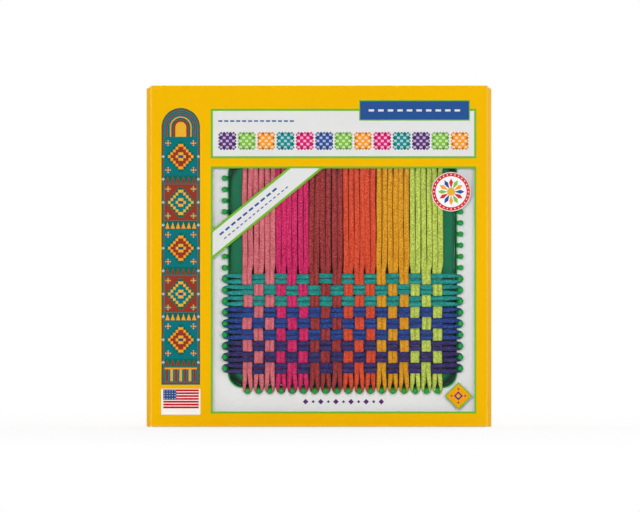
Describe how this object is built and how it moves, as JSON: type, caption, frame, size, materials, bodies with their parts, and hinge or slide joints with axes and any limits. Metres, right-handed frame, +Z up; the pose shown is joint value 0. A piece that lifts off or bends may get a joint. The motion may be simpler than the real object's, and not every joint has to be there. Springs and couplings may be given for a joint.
{
  "type": "potholder loom kit",
  "caption": "Tuck-top window carton holding a pressed metal loom with knobbed pegs, strung with cotton loops and half woven, on a card insert.",
  "frame": {"origin": "middle of the carton's footprint, on the surface it stands on", "axes": "+Z up, front with the window towards -Y, +X to the right seen from the front"},
  "size_m": [0.254, 0.045, 0.252],
  "materials": {
    "carton_board": "printed yellow folding board, satin varnish, raw edges",
    "clear_film": "thin clear plastic film, glossy",
    "banner_paper": "light grey print with lime edges",
    "title_paper": "light grey print with a lime border and small coloured woven squares",
    "name_plate_paper": "blue print, bare",
    "pattern_paper": "teal print with a plain geometric border in brick, orange, yellow and blue",
    "flag_paper": "white print with a striped flag",
    "seal_paper": "white and red round print with a plain rosette",
    "diamond_paper": "orange print with a lime edge",
    "insert_card": "light grey matt card",
    "green_enamel": "glossy green enamel on pressed steel",
    "hook_wire": "bright wire",
    "loop_bag_film": "clear bag of spare cotton loops",
    "leaflet_paper": "uncoated folded sheet",
    "cotton_pink": "knitted cotton tube, slightly fuzzy",
    "cotton_magenta": "knitted cotton tube, slightly fuzzy",
    "cotton_dark_red": "knitted cotton tube, slightly fuzzy",
    "cotton_orange_red": "knitted cotton tube, slightly fuzzy",
    "cotton_amber": "knitted cotton tube, slightly fuzzy",
    "cotton_lime": "knitted cotton tube, slightly fuzzy",
    "cotton_navy": "knitted cotton tube, slightly fuzzy",
    "cotton_blue": "knitted cotton tube, slightly fuzzy",
    "cotton_teal": "knitted cotton tube, slightly fuzzy"
  },
  "bodies": {
    "carton": {"front_panel": "carton_board", "back_panel": "carton_board", "left_wall": "carton_board", "right_wall": "carton_board", "glue_flap": "carton_board", "bottom_outer_flap": "carton_board", "bottom_inner_flap": "carton_board", "bottom_left_dust_flap": "carton_board", "bottom_right_dust_flap": "carton_board", "window_film": "clear_film", "corner_banner": "banner_paper", "title_label": "title_paper", "name_plate_label": "name_plate_paper", "pattern_band_label": "pattern_paper", "flag_label": "flag_paper", "round_seal": "seal_paper", "diamond_sticker": "diamond_paper", "insert_face": "insert_card", "insert_left_leg": "insert_card", "insert_right_leg": "insert_card", "insert_tabs": "insert_card", "loom_frame": "green_enamel", "weaving_hook": "hook_wire", "loop_bag": "loop_bag_film", "leaflet": "leaflet_paper", "warp_loop_01": "cotton_pink", "warp_loop_02": "cotton_pink", "warp_loop_03": "cotton_pink", "warp_loop_04": "cotton_magenta", "warp_loop_05": "cotton_magenta", "warp_loop_06": "cotton_magenta", "warp_loop_07": "cotton_dark_red", "warp_loop_08": "cotton_dark_red", "warp_loop_09": "cotton_dark_red", "warp_loop_10": "cotton_orange_red", "warp_loop_11": "cotton_orange_red", "warp_loop_12": "cotton_orange_red", "warp_loop_13": "cotton_amber", "warp_loop_14": "cotton_amber", "warp_loop_15": "cotton_amber", "warp_loop_16": "cotton_lime", "warp_loop_17": "cotton_lime", "warp_loop_18": "cotton_lime", "weft_loop_01": "cotton_navy", "weft_loop_02": "cotton_navy", "weft_loop_03": "cotton_navy", "weft_loop_04": "cotton_blue", "weft_loop_05": "cotton_blue", "weft_loop_06": "cotton_blue", "weft_loop_07": "cotton_teal", "weft_loop_08": "cotton_teal", "weft_loop_09": "cotton_teal"},
    "lid": {"top_lid": "carton_board"},
    "tuck": {"top_tuck_flap": "carton_board"},
    "left_dust": {"top_left_dust_flap": "carton_board"},
    "right_dust": {"top_right_dust_flap": "carton_board"}
  },
  "joints": [
    {"name": "lid_fold", "type": "hinge", "parent": "carton", "child": "lid", "pos_m": [0, 0.0225, 0.2512], "axis": [-1, 0, 0], "range_deg": [0, 120]},
    {"name": "tuck_fold", "type": "hinge", "parent": "lid", "child": "tuck", "pos_m": [0, -0.02052, 0.2512], "axis": [1, 0, 0], "range_deg": [0, 35]},
    {"name": "left_dust_fold", "type": "hinge", "parent": "carton", "child": "left_dust", "pos_m": [-0.1243, 0, 0.2502], "axis": [0, -1, 0], "range_deg": [0, 90]},
    {"name": "right_dust_fold", "type": "hinge", "parent": "carton", "child": "right_dust", "pos_m": [0.1243, 0, 0.2502], "axis": [0, 1, 0], "range_deg": [0, 90]}
  ],
  "couplings": [
    {"joint": "left_dust_fold", "follows": "lid_fold", "ratio": 0.75},
    {"joint": "right_dust_fold", "follows": "lid_fold", "ratio": 0.75}
  ]
}
